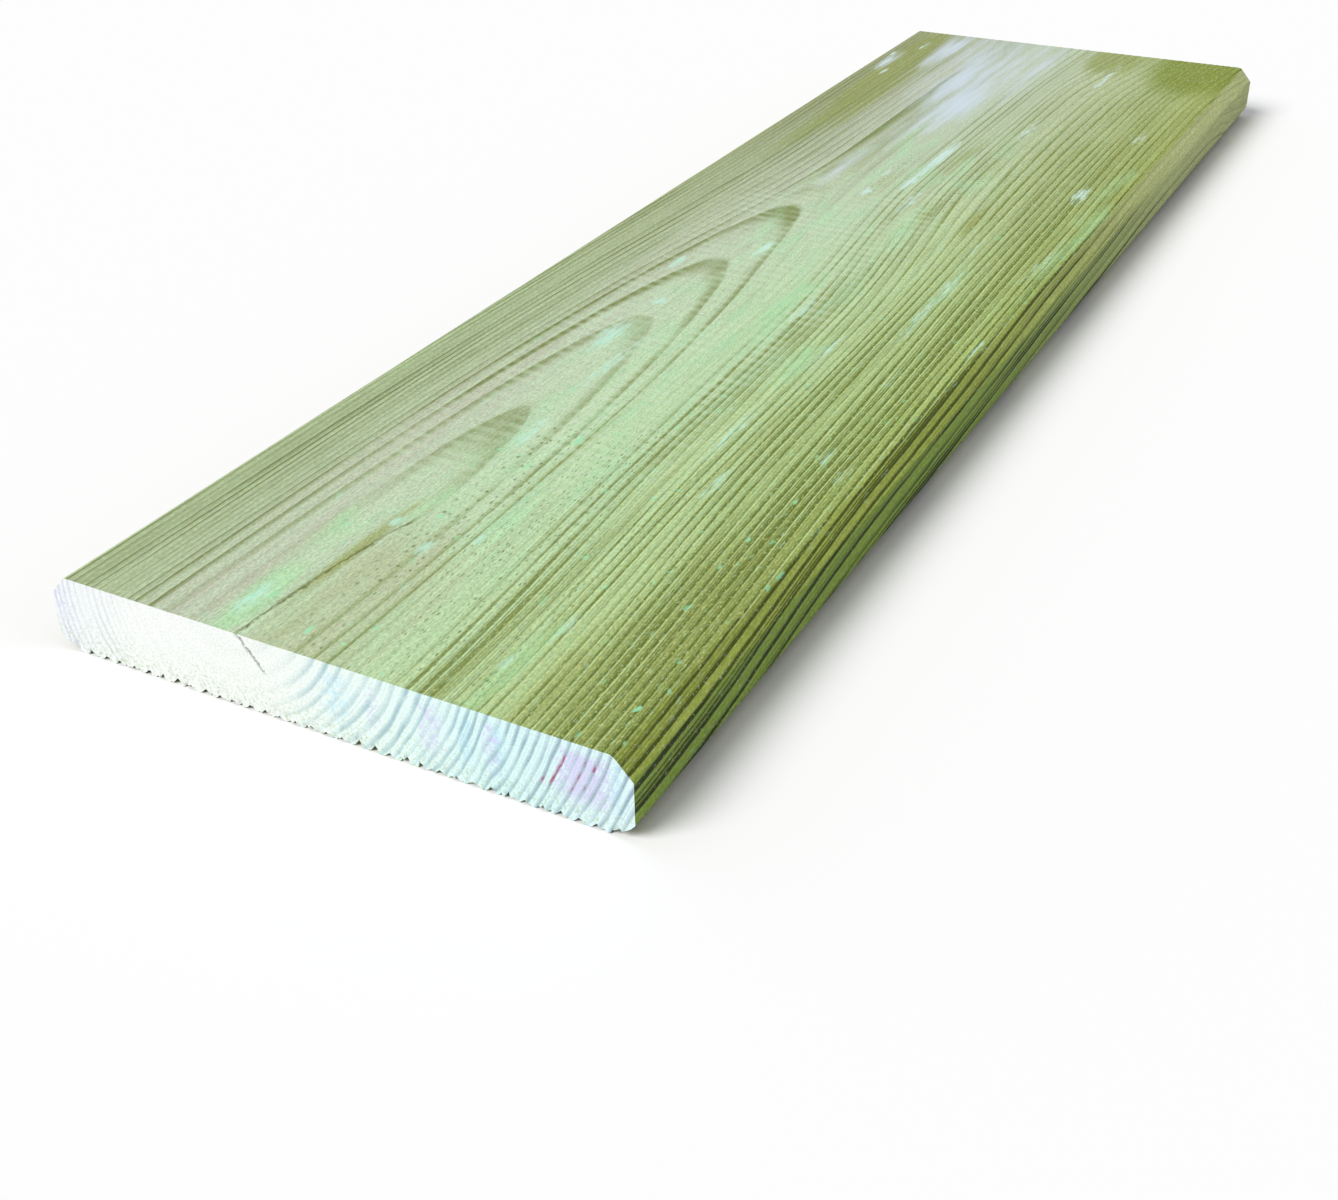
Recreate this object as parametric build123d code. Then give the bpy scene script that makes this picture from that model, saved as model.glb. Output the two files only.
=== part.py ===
from build123d import *

import os

# A cut length of softwood decking board, lying flat with its smooth face up.
# It is one piece of timber, shaped in one pass through a four-sided moulding
# planer: a smooth face with chamfered edges, square sides, and a back worked
# into narrow rounded ribs with sharp grooves between them. Both ends are
# crosscut square.
# Millimetres. X runs along the length, Y across the width, and Z is up. The
# origin is under the middle of the board, level with the crests of the ribs.

# Overall size of the cut piece
BOARD_LENGTH = 500.0
BOARD_WIDTH = 145.0
BOARD_THICKNESS = 19.0

# Chamfers between the smooth face and the sides, and how soft their arrises are
CHAMFER_ACROSS = 4.5
CHAMFER_DOWN = 5.0
ARRIS_RADIUS = 1.0

# Rounded lower corners, from the outermost groove up to the square side
LOWER_CORNER_ACROSS = 4.5
LOWER_CORNER_UP = 4.0
LOWER_CORNER_BULGE = 0.6

# Ribs of the back: crest to crest, and crest to the bottom of a groove
RIB_PITCH = 4.0
GROOVE_DEPTH = 1.1

# A plain strip beside the outermost groove that is narrower than this is left out
NARROWEST_STRIP = 0.05


def groove_places():
    """Where the grooves are across the width: as many whole ribs as fit, centred."""
    reeded_width = BOARD_WIDTH - 2 * LOWER_CORNER_ACROSS
    ribs = int((reeded_width + NARROWEST_STRIP) // RIB_PITCH)
    return [(groove - ribs / 2) * RIB_PITCH for groove in range(ribs + 1)]


def corner_start(outermost_groove):
    """Where a lower corner begins, and with it any strip beside the outermost groove."""
    start = BOARD_WIDTH / 2 - LOWER_CORNER_ACROSS
    strip = start - outermost_groove
    return start if strip > NARROWEST_STRIP else outermost_groove


def ribs(grooves):
    """One arc from each groove over a crest to the next groove."""
    for left, right in zip(grooves, grooves[1:]):
        crest = ((left + right) / 2, 0)
        ThreePointArc((left, GROOVE_DEPTH), crest, (right, GROOVE_DEPTH))


def lower_corner(side, outermost_groove):
    """The rounded corner on one side, and the strip that joins it to the ribs."""
    start = corner_start(outermost_groove)
    foot = Vector(side * start, GROOVE_DEPTH)
    top = Vector(side * BOARD_WIDTH / 2, LOWER_CORNER_UP)
    if start > outermost_groove:
        Line((side * outermost_groove, GROOVE_DEPTH), foot)
    outward = Vector(side * (top.Y - foot.Y), -abs(top.X - foot.X)).normalized()
    ThreePointArc(foot, (foot + top) / 2 + outward * LOWER_CORNER_BULGE, top)


def sides_and_face():
    """The square sides, the chamfers and the smooth face, with softened arrises."""
    side = BOARD_WIDTH / 2
    face_edge = side - CHAMFER_ACROSS
    chamfer_foot = BOARD_THICKNESS - CHAMFER_DOWN
    FilletPolyline(
        (-side, LOWER_CORNER_UP),
        (-side, chamfer_foot),
        (-face_edge, BOARD_THICKNESS),
        (face_edge, BOARD_THICKNESS),
        (side, chamfer_foot),
        (side, LOWER_CORNER_UP),
        radius=ARRIS_RADIUS,
    )


def board_section():
    """The board's section as one closed face, standing across the X axis."""
    grooves = groove_places()
    with BuildSketch(Plane.YZ) as section:
        with BuildLine():
            ribs(grooves)
            for side in (-1, 1):
                lower_corner(side, grooves[-1])
            sides_and_face()
        make_face()
    return section.sketch


def deck_board():
    """The board: its section run along the whole length, centred on the origin."""
    return extrude(board_section(), amount=BOARD_LENGTH / 2, both=True)


os.makedirs("parts", exist_ok=True)
export_step(deck_board(), "parts/deck_board.step")
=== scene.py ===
import math

import bpy
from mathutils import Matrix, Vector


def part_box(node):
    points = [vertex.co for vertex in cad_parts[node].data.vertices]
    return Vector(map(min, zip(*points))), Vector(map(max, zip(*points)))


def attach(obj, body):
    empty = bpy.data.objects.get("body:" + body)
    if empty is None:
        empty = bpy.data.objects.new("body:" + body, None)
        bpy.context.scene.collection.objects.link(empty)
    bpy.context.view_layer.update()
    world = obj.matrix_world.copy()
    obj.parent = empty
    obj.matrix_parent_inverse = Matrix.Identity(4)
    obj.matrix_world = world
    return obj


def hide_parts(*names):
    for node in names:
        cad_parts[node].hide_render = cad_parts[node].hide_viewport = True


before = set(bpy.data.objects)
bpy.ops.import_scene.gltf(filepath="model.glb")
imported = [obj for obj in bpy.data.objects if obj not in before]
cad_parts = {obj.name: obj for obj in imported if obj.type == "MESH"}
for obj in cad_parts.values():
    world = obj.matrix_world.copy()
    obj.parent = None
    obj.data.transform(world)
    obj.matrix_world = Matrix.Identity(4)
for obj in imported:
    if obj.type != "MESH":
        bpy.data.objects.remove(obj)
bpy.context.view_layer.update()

# The board
# One cut length of pine decking, pressure treated green. A four-sided moulding
# planer made its smooth chamfered face, square sides and finely ribbed back in
# one pass, and a chop saw cut both ends, which left the ribs' ends ragged.

MM = 0.001
low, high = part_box("deck_board")
LENGTH, WIDTH, THICKNESS = (high[axis] - low[axis] for axis in range(3))

# The section that the planer's knives cut
CHAMFER_ACROSS = 4.5 * MM
CHAMFER_DOWN = 5.0 * MM
ARRIS_SOFTNESS = 1.2 * MM
LOWER_CORNER_ACROSS = 4.5 * MM
LOWER_CORNER_UP = 4.0 * MM
LOWER_CORNER_BULGE = 0.6 * MM
RIB_PITCH = 4.0 * MM
GROOVE_DEPTH = 1.1 * MM

# Vertices of the mesh across, along and up, and how much they crowd at the ends
COLUMNS = 291
ROWS = 148
LEVELS = 15
CROWDING_AT_ENDS = 0.78

# How far autumn wood stands proud of the lowest wood, at what share of the year
# that grew, and how deep and how far in the saw chipped the ends
RAISED_GRAIN = 0.06 * MM
LOWEST_SEASON = 0.3
CHIPPED_DEPTH = 0.75 * MM
CHIPPED_REACH = 2.2 * MM

# A face is sawn if it looks endways by more than this, and an edge is sharp past
# this many degrees
SAWN_ENDWAYS = 0.6
SHARP_ANGLE = 50

# Where the tree grew round the board, in millimetres from the near end, the
# middle of the width and the smooth face. The pith lies above the face, rises
# away from it along the board, and so gives the nested arches on the face.
PITH_ABOVE_NEAR, PITH_ABOVE_FAR, PITH_RISE_OVER = 8.0, 28.9, 343.0
PITH_ACROSS_NEAR, PITH_ACROSS_FAR, PITH_DRIFT_OVER = 22.0, 25.0, 280.0
LEAN = 0.25
JUVENILE_RADIUS = 29.1
RINGS_PER_MM = 0.32

# Left and right of the pith: the ring beyond which the rings lie closer, by how
# much, and how far out that begins and is full
LEFT_RINGS_FROM, LEFT_RINGS_GAIN = 4.0, 0.9
RIGHT_RINGS_FROM, RIGHT_RINGS_GAIN = 11.0, 0.4
CLOSER_FROM, CLOSER_IN_FULL = 4.0, 14.0

# How far the rings wander, and over how long and wide a stretch. They wander
# less by the pith, and hardly change their line through the board's thickness.
SLOW_WANDER, SLOW_WANDER_ALONG, SLOW_WANDER_ACROSS = 1.9, 300.0, 12.0
QUICK_WANDER, QUICK_WANDER_ALONG, QUICK_WANDER_ACROSS = 0.15, 9.0, 2.0
WANDER_BY_PITH, WANDER_GROWS_FROM, WANDER_IS_FULL = 0.15, 20.0, 46.0
WANDER_THROUGH_BOARD = 0.12

# Which years came out darker
YEARS_SEED = 696558.0
LINES_SEED = YEARS_SEED + 500.0

# Where the grain sways to the left on the way along: from, to, how far, and
# between which places across it starts, is full, still is full, and has ended
SWAYS = (
    (-30.0, 120.0, 4.8, -200.0, -199.0, -14.0, 4.0),
    (200.0, 320.0, 8.0, -50.0, -8.0, 0.0, 18.0),
    (290.0, 380.0, 1.5, -200.0, -199.0, -14.0, 4.0),
    (430.0, 520.0, -7.0, -200.0, -199.0, -14.0, 10.0),
)

# How dark the wood gets through one year, as places in the year, its two ends
# first, and levels there: the autumn band, and fainter lines from weather within
# the year, on a planed and on a sawn surface
PLANED_BAND = ((0.0, 0.6), (1.0, 0.9), (0.06, 0.0), (0.62, 0.0), (0.82, 0.75), (0.92, 1.0))
PLANED_LINES = (
    (0.0, 0.0),
    (1.0, 0.0),
    (0.22, 0.06),
    (0.31, 0.6),
    (0.39, 0.1),
    (0.5, 0.2),
    (0.6, 0.8),
    (0.7, 0.1),
)
SAWN_BAND = ((0.0, 0.6), (1.0, 0.75), (0.14, 0.0), (0.5, 0.0), (0.74, 0.6), (0.9, 0.9))
SAWN_LINES = (
    (0.0, 0.0),
    (1.0, 0.0),
    (0.26, 0.0),
    (0.34, 0.4),
    (0.42, 0.0),
    (0.56, 0.0),
    (0.62, 0.6),
    (0.68, 0.0),
)

# The fine drying crack that starts at the near end and runs out along the face,
# in millimetres
CRACK_ACROSS = 20.3
CRACK_BEND = -0.0018
CRACK_LEAN = 0.78
CRACK_WOBBLE = 1.5
CRACK_WIDTH = 0.62
CRACK_LENGTH = 60.0
CRACK_DEPTH = 9.0


def add(tree, kind, inputs=None, stops=None, **settings):
    """Adds one node with its settings. An input is a value, a socket, or a node's own output,
    and stops are a colour ramp's places and colours, its two ends first."""
    node = tree.nodes.new(kind)
    for name, value in settings.items():
        setattr(node, name, value)
    for key, value in (inputs or {}).items():
        if isinstance(value, bpy.types.Node):
            value = next(socket for socket in value.outputs if socket.enabled)
        if isinstance(value, bpy.types.NodeSocket):
            tree.links.new(value, node.inputs[key])
        else:
            node.inputs[key].default_value = value
    for number, (place, colour) in enumerate(stops or []):
        elements = node.color_ramp.elements
        stop = elements[number] if number < 2 else elements.new(place)
        stop.position = place
        stop.color = colour
    return node


def linear(code):
    """A linear colour with full alpha from an sRGB hex code."""
    shares = [int(code[start : start + 2], 16) / 255 for start in (1, 3, 5)]
    return tuple(
        (s / 12.92 if s <= 0.04045 else ((s + 0.055) / 1.055) ** 2.4) for s in shares
    ) + (1.0,)


def millimetres(tree, position):
    """A place in metres as millimetres from the near end, mid width and the smooth face."""
    return add(
        tree,
        "ShaderNodeVectorMath",
        {0: position, 1: (1 / MM, 1 / MM, 1 / MM), 2: (LENGTH / 2 / MM, 0, -THICKNESS / MM)},
        operation="MULTIPLY_ADD",
    )


def stretched_noise(tree, place, along, across, detail=2.0, roughness=0.5, seed=0.0):
    """Noise whose blotches are as long and as wide as given, in millimetres."""
    drawn = add(
        tree,
        "ShaderNodeVectorMath",
        {0: place, 1: (1 / along, 1 / across, 1 / across), 2: (seed, seed, seed)},
        operation="MULTIPLY_ADD",
    )
    settings = {"Vector": drawn, "Scale": 1.0, "Detail": detail, "Roughness": roughness}
    return add(tree, "ShaderNodeTexNoise", settings)


def product(tree, *factors):
    """Several factors multiplied together, or one alone. Each is a number, a socket, or a value
    eased between two points: (value, start, end), and then its levels there if not 0 and 1."""
    total = None
    for factor in factors:
        if isinstance(factor, tuple):
            eased = dict(enumerate((factor + (0.0, 1.0))[:5]))
            factor = add(tree, "ShaderNodeMapRange", eased, interpolation_type="SMOOTHSTEP")
        if total is not None:
            factor = add(tree, "ShaderNodeMath", {0: total, 1: factor}, operation="MULTIPLY")
        total = factor
    return total


def growth_rings(tree, place):
    """The ring number at a place, and the place straightened so that the grain runs along x.
    The number's whole part counts the rings, and its fraction runs from spring to autumn."""
    x, y, z = add(tree, "ShaderNodeSeparateXYZ", {0: place}).outputs
    pith_above = product(tree, (x, 0.0, PITH_RISE_OVER, PITH_ABOVE_NEAR, PITH_ABOVE_FAR))
    pith_across = product(tree, (x, 0.0, PITH_DRIFT_OVER, PITH_ACROSS_NEAR, PITH_ACROSS_FAR))
    swept = y
    for start, end, shift, outer, full_from, full_to, inner in SWAYS:
        sway = product(
            tree,
            (x, start, end, 0.0, shift),
            (y, outer, full_from),
            (y, full_to, inner, 1.0, 0.0),
        )
        swept = add(tree, "ShaderNodeMath", {0: swept, 1: sway}, operation="SUBTRACT")
    grain = add(tree, "ShaderNodeCombineXYZ", {0: x, 1: swept, 2: z})
    leaned = add(tree, "ShaderNodeMath", {0: z, 1: LEAN, 2: swept}, operation="MULTIPLY_ADD")
    across = add(tree, "ShaderNodeMath", {0: leaned, 1: pith_across}, operation="SUBTRACT")
    above = add(tree, "ShaderNodeMath", {0: z, 1: pith_above}, operation="SUBTRACT")
    from_pith = add(tree, "ShaderNodeCombineXYZ", {1: across, 2: above})
    radius = add(tree, "ShaderNodeVectorMath", {0: from_pith}, operation="LENGTH")
    wandering = product(tree, (radius, WANDER_GROWS_FROM, WANDER_IS_FULL, WANDER_BY_PITH, 1.0))
    evened = add(
        tree,
        "ShaderNodeVectorMath",
        {0: grain, 1: (1.0, 1.0, WANDER_THROUGH_BOARD)},
        operation="MULTIPLY",
    )
    for wander, along, width in (
        (SLOW_WANDER, SLOW_WANDER_ALONG, SLOW_WANDER_ACROSS),
        (QUICK_WANDER, QUICK_WANDER_ALONG, QUICK_WANDER_ACROSS),
    ):
        noise = stretched_noise(tree, evened, along, width)
        shift = add(tree, "ShaderNodeMapRange", {0: noise, 3: -wander, 4: wander})
        radius = add(
            tree,
            "ShaderNodeMath",
            {0: shift, 1: wandering, 2: radius},
            operation="MULTIPLY_ADD",
        )
    young = add(tree, "ShaderNodeMath", {0: radius, 1: JUVENILE_RADIUS}, operation="MINIMUM")
    young_rings = product(tree, young, young, RINGS_PER_MM / (2 * JUVENILE_RADIUS))
    beyond = add(tree, "ShaderNodeMath", {0: radius, 1: young}, operation="SUBTRACT")
    rings = add(
        tree,
        "ShaderNodeMath",
        {0: beyond, 1: RINGS_PER_MM, 2: young_rings},
        operation="MULTIPLY_ADD",
    )
    grown_rings = rings
    for start, side in (
        (LEFT_RINGS_FROM, (CLOSER_FROM, CLOSER_IN_FULL, 0.0, LEFT_RINGS_GAIN)),
        (RIGHT_RINGS_FROM, (-CLOSER_IN_FULL, -CLOSER_FROM, RIGHT_RINGS_GAIN, 0.0)),
    ):
        older = add(tree, "ShaderNodeMath", {0: grown_rings, 1: start}, operation="SUBTRACT")
        narrowed = add(tree, "ShaderNodeMath", {0: older, 1: 0.0}, operation="MAXIMUM")
        extra = product(tree, narrowed, (across, *side))
        rings = add(tree, "ShaderNodeMath", {0: rings, 1: extra})
    return rings, grain


def autumn_wood(tree, rings, grain, band, lines):
    """How much of the dark autumn wood shows. It builds up slowly over a year and stops
    sharply, some years are darker than others, and it fades here and there along the grain."""
    season = add(tree, "ShaderNodeMath", {0: rings}, operation="FRACT")
    year = add(tree, "ShaderNodeMath", {0: rings}, operation="FLOOR")
    parts = []
    for levels, seed, weakest, strongest in (
        (band, YEARS_SEED, 0.3, 1.2),
        (lines, LINES_SEED, 0.0, 1.0),
    ):
        stops = [(place, (shade, shade, shade, 1.0)) for place, shade in levels]
        through_year = add(tree, "ShaderNodeValToRGB", {0: season}, stops=stops)
        counted = add(tree, "ShaderNodeMath", {0: year, 1: seed})
        year_noise = add(tree, "ShaderNodeTexWhiteNoise", {"W": counted}, noise_dimensions="1D")
        strength = add(tree, "ShaderNodeMapRange", {0: year_noise, 3: weakest, 4: strongest})
        parts.append(product(tree, through_year, strength))

    # The first years show hardly any weather lines
    fine = product(tree, parts[1], (rings, 2.6, 4.6, 0.12, 1.0))
    both = add(tree, "ShaderNodeMath", {0: parts[0], 1: fine}, operation="MAXIMUM")
    fading = stretched_noise(tree, grain, 60.0, 7.0)
    return product(tree, both, (fading, 0.3, 0.7, 0.6, 1.15))


# The spots below are places along and across in millimetres, half lengths, half
# widths and strengths. Each reaches this deep, through the whole board.
SPOT_DEPTH = 200.0


def laid_in(tree, place, spots):
    """How much of some soft-edged oval spots shows."""
    total = 0.0
    for along, across, half_length, half_width, strength in spots:
        centred = add(
            tree,
            "ShaderNodeMapping",
            {
                "Vector": place,
                "Location": (along, across, 0.0),
                "Scale": (half_length, half_width, SPOT_DEPTH),
            },
            vector_type="TEXTURE",
        )
        spot = add(tree, "ShaderNodeTexGradient", {0: centred}, gradient_type="SPHERICAL")
        total = add(
            tree,
            "ShaderNodeMath",
            {0: spot.outputs[1], 1: strength, 2: total},
            operation="MULTIPLY_ADD",
        )
    return total


def frayed(tree, amount, noise, fray, start, end):
    """An amount with its soft edges broken up by a noise."""
    shift = add(tree, "ShaderNodeMapRange", {0: noise, 3: -fray, 4: fray})
    moved = add(tree, "ShaderNodeMath", {0: amount, 1: shift})
    return product(tree, (amount, 0.02, 0.3), (moved, start, end))


def drying_crack(tree, place):
    """How much of the crack shows at a place."""
    x, y, z = add(tree, "ShaderNodeSeparateXYZ", {0: place}).outputs
    wobble_noise = stretched_noise(tree, place, 5.0, 2.2, detail=3.0, roughness=0.7)
    wobble = add(tree, "ShaderNodeMapRange", {0: wobble_noise, 3: -CRACK_WOBBLE, 4: CRACK_WOBBLE})
    line = CRACK_ACROSS
    for shift in (product(tree, x, x, CRACK_BEND), product(tree, z, CRACK_LEAN), wobble):
        line = add(tree, "ShaderNodeMath", {0: line, 1: shift})
    gap = add(tree, "ShaderNodeMath", {0: y, 1: line}, operation="SUBTRACT")
    distance = add(tree, "ShaderNodeMath", {0: gap}, operation="ABSOLUTE")
    return product(
        tree,
        (distance, 0.1, CRACK_WIDTH, 1.0, 0.0),
        (wobble_noise, 0.35, 0.65, 1.0, 0.4),
        (x, CRACK_LENGTH * 0.85, CRACK_LENGTH, 1.0, 0.0),
        (z, -CRACK_DEPTH, -CRACK_DEPTH * 0.8),
    )


# How far apart the knife marks and the pits are along the board, in millimetres,
# and how many rows of pits there are to a ring
KNIFE_MARK_PITCH = 4.7
PIT_PITCH = 3.0
PIT_ROWS_PER_RING = 3.4

# Where one finish turns into the next, in millimetres: the chamfers and sides by
# the distance from mid width, and the face and back by the depth below the face
CHAMFER_BEGINS = (67.6, 68.4)
SIDE_BEGINS = (71.9, 72.5)
FACE_ENDS = -1.0
BACK_ENDS = (-17.5, -14.5)

# The colours of spring and autumn wood on the smooth face, near and far, from
# its right edge over its middle to its left edge
FACE_SHARES = (0.0, 1.0, 0.26, 0.5, 0.74)
NEAR_SPRING = ("#A6BC5F", "#B0C291", "#BEDAA3", "#C3E0B5", "#C2D4B6")
FAR_SPRING = ("#A1AD5A", "#989F70", "#B9C699", "#C2D1B6", "#C1CBB5")
NEAR_AUTUMN = ("#5B6C1E", "#6A7744", "#768840", "#8B9B5D", "#838F54")
FAR_AUTUMN = ("#6A7826", "#6E773A", "#7C8B42", "#8B9861", "#828E58")

# Broad olive flushes where the salts went deeper
OLIVE_FLUSHES = (
    (-5, -28.0, 90, 6.0, 0.7),
    (130, -40.0, 120, 5.5, 0.4),
    (175, -21.0, 100, 4.0, 0.5),
    (30, -62, 150, 12, 1.2),
    (20, -48, 50, 9, 0.9),
    (250, -60, 150, 9, 0.35),
    (288, -32, 24, 6, 0.8),
    (290, -16, 26, 5, 0.9),
    (350, -8, 36, 5, 0.6),
    (345, 55, 45, 4.5, 0.7),
    (428, 57, 80, 8, 1.3),
    (405, 30, 50, 3.5, 0.7),
    (400, -38, 80, 6, 0.25),
    (405, 50, 78, 8, 1.2),
    (490, -19, 32, 15, 1.5),
    (475, 58, 50, 9, 1.1),
    (34, 18.5, 40, 3.0, 0.9),
    (100, 0.0, 80, 3.0, 0.4),
)

# Greyer patches beside the crack and beyond the arches
GREY_PATCHES = (
    (12, 8.0, 60, 12.0, 1.2),
    (0, 3.0, 60, 17.0, 1.4),
    (60, -8.0, 50, 5.0, 0.5),
    (300, 26.0, 45, 8.0, 0.7),
    (310, 7.0, 24, 4.0, 1.2),
    (345, 22.0, 50, 5.0, 0.7),
    (300, -8.0, 50, 4.0, 0.8),
    (393, -35.0, 45, 9.0, 1.2),
)

# The far right corner, which soaked up the most
SOAKED_CORNER = ((492, -55, 52, 26, 1.9),)

# Where the autumn lines are bolder, or weaker below zero
BOLD_LINES = (
    (110, 24.0, 24, 8.0, -0.1),
    (15, 56.0, 60, 7.0, -1.2),
    (388, -42.0, 42, 16.0, -0.8),
    (315, 64.0, 48, 7.0, -0.7),
    (225, 25.0, 28, 9.0, -0.4),
    (274, 25.0, 26, 8.0, 0.6),
    (170, -20.0, 130, 8.0, 1.9),
    (10, -27.0, 90, 8.0, 1.6),
    (135, -40.0, 110, 7.0, 1.8),
    (150, -60.0, 260, 15.0, 2.1),
    (350, -48.0, 120, 20.0, 1.0),
    (40, 58.0, 170, 13.0, 0.8),
    (150, 38.0, 80, 9.0, 0.9),
    (345, 33.0, 100, 6.0, 0.3),
    (400, 30.0, 60, 6.0, 1.5),
)

# Where the knives tore rows of pits
PITTED = (
    (50, -34.0, 80, 4.0, 1.6),
    (45, -20.0, 95, 6.0, 1.3),
    (55, -46.0, 80, 4.0, 0.8),
    (55, 5.0, 110, 13.0, 1.0),
    (60, -10.0, 110, 8.0, 1.0),
    (110, -16.0, 60, 3.0, 1.0),
    (322, 8.0, 40, 6.0, 1.3),
    (320, -19.0, 50, 5.0, 1.5),
)

# Mint green clouds
MINT_CLOUDS = (
    (34, 28, 48, 7, 0.55),
    (12, 25, 20, 5, 0.7),
    (60, 16, 20, 3, 0.7),
    (75, -8, 60, 7, 0.5),
    (165, -27, 50, 5, 0.6),
    (20, -36, 40, 4, 0.6),
    (290, -64, 100, 7, 0.55),
    (232, -44, 45, 5, 0.4),
    (198, -8, 46, 6, 1.2),
)

# A pale painted sheen towards the far end: a painted reflection, laid on as colour
PAINTED_SHEEN_SPOTS = (
    (450, 20, 95, 28, 0.85),
    (402, 15, 42, 9, 1.1),
    (440, 27, 50, 6, 0.8),
    (482, 35, 40, 9, 0.3),
    (362, 22, 44, 4.5, 0.6),
    (478, 46, 38, 6.0, 1.5),
    (452, 62, 22, 3.5, 0.9),
    (318, 26, 32, 5, 0.7),
    (465, 3, 45, 4.5, 0.6),
)

# Salts dried on in white and mint streaks
SALT_STREAKS = (
    (163, 26.3, 15, 4.2, 1),
    (148, 17, 26, 2.4, 0.6),
    (104, 14.5, 13, 3, 0.7),
    (191, 26, 4.5, 3.2, 0.8),
    (240, 16.8, 9, 1.7, 1.6),
    (219, 35.5, 8, 1.8, 1),
    (202, -13.7, 12, 1.8, 0.75),
    (236, -44.5, 27.6, 2.8, 0.54),
    (206, -45, 20.7, 2.4, 0.5),
    (125, -30, 24, 2.6, 0.6),
    (181, -31, 17.2, 1.8, 0.5),
    (100, -38, 10.3, 2.2, 0.65),
    (123, -56, 8.6, 2, 0.43),
    (172, -53.5, 10.3, 2, 0.37),
    (117, -63, 8.6, 1.6, 0.54),
    (198, -66.5, 10.3, 1.6, 0.49),
    (13, 26, 10, 3.4, 0.9),
    (46, 5.5, 5, 2, 1),
    (53, 18, 4, 2, 1),
    (54, -3, 4, 1.6, 0.7),
    (30, 0.5, 3.5, 1.4, 0.7),
    (17, -34.5, 5.2, 1.4, 0.72),
    (33, -38.5, 8.6, 1.8, 0.58),
    (318, -0.7, 15, 1.8, 1.6),
    (345, -0.9, 22, 2.2, 1.8),
    (302, 9, 6, 2.4, 1.2),
    (322, 10, 5, 1.6, 0.7),
    (299, -7.8, 20, 2.4, 0.7),
    (266, -41, 31, 2.2, 0.27),
    (265, -63, 34.5, 3, 0.32),
    (394, -56, 12.6, 3.6, 0.4),
    (386, -18.5, 18, 2.4, 0.7),
    (462, -24.5, 32, 2, 0.64),
    (447, 62.5, 12, 1.4, 1.2),
    (462, 64.5, 9, 1.2, 1),
    (436, 58, 8, 1.2, 0.7),
    (478, 57, 10, 1.4, 0.8),
    (328, -55.5, 11, 3, 1.1),
)


def blank_material(name):
    """A material with an empty node tree, and the tree."""
    material = bpy.data.materials.new(name)
    material.use_nodes = True
    material.node_tree.nodes.clear()
    return material, material.node_tree


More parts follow.
